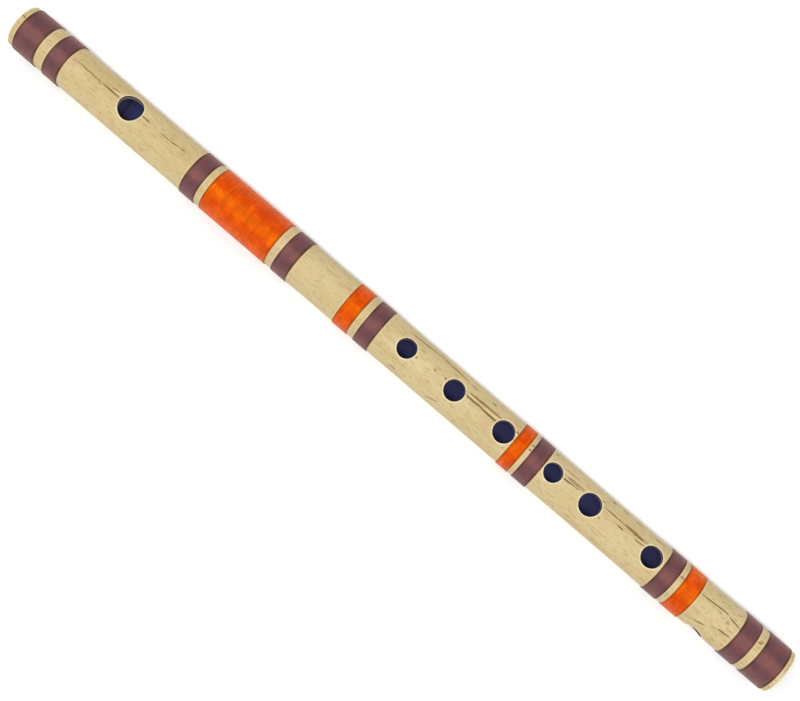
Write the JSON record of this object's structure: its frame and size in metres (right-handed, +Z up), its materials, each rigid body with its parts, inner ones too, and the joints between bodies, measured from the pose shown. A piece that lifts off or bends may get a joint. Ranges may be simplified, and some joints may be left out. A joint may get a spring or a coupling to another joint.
{
  "type": "bamboo flute",
  "caption": "Side-blown bamboo flute with a blow hole, finger holes and a side vent, bound with maroon and orange thread; a cork in the bore slides to tune it.",
  "frame": {"origin": "on the surface the flute lies on, under the middle of its length", "axes": "+X along the tube, from the head end to the open foot; +Z up, the way the finger holes face; -Y towards the player"},
  "size_m": [0.483, 0.0242, 0.0242],
  "materials": {
    "bamboo": "satin",
    "cork": "matte",
    "maroon_thread": "satin",
    "orange_thread": "satin"
  },
  "bodies": {
    "flute": {"bamboo_tube": "bamboo", "head_end_binding": "maroon_thread", "head_inner_binding": "maroon_thread", "long_upper_border": "maroon_thread", "long_orange_binding": "orange_thread", "long_lower_border": "maroon_thread", "upper_orange_binding": "orange_thread", "upper_maroon_binding": "maroon_thread", "middle_orange_binding": "orange_thread", "middle_maroon_binding": "maroon_thread", "lower_maroon_binding": "maroon_thread", "lower_orange_binding": "orange_thread", "foot_inner_binding": "maroon_thread", "foot_end_binding": "maroon_thread"},
    "stopper": {"cork_stopper": "cork"}
  },
  "joints": [
    {"name": "cork_slide", "type": "slide", "parent": "flute", "child": "stopper", "axis": [1, 0, 0], "range_m": [-0.006, 0.004]}
  ]
}
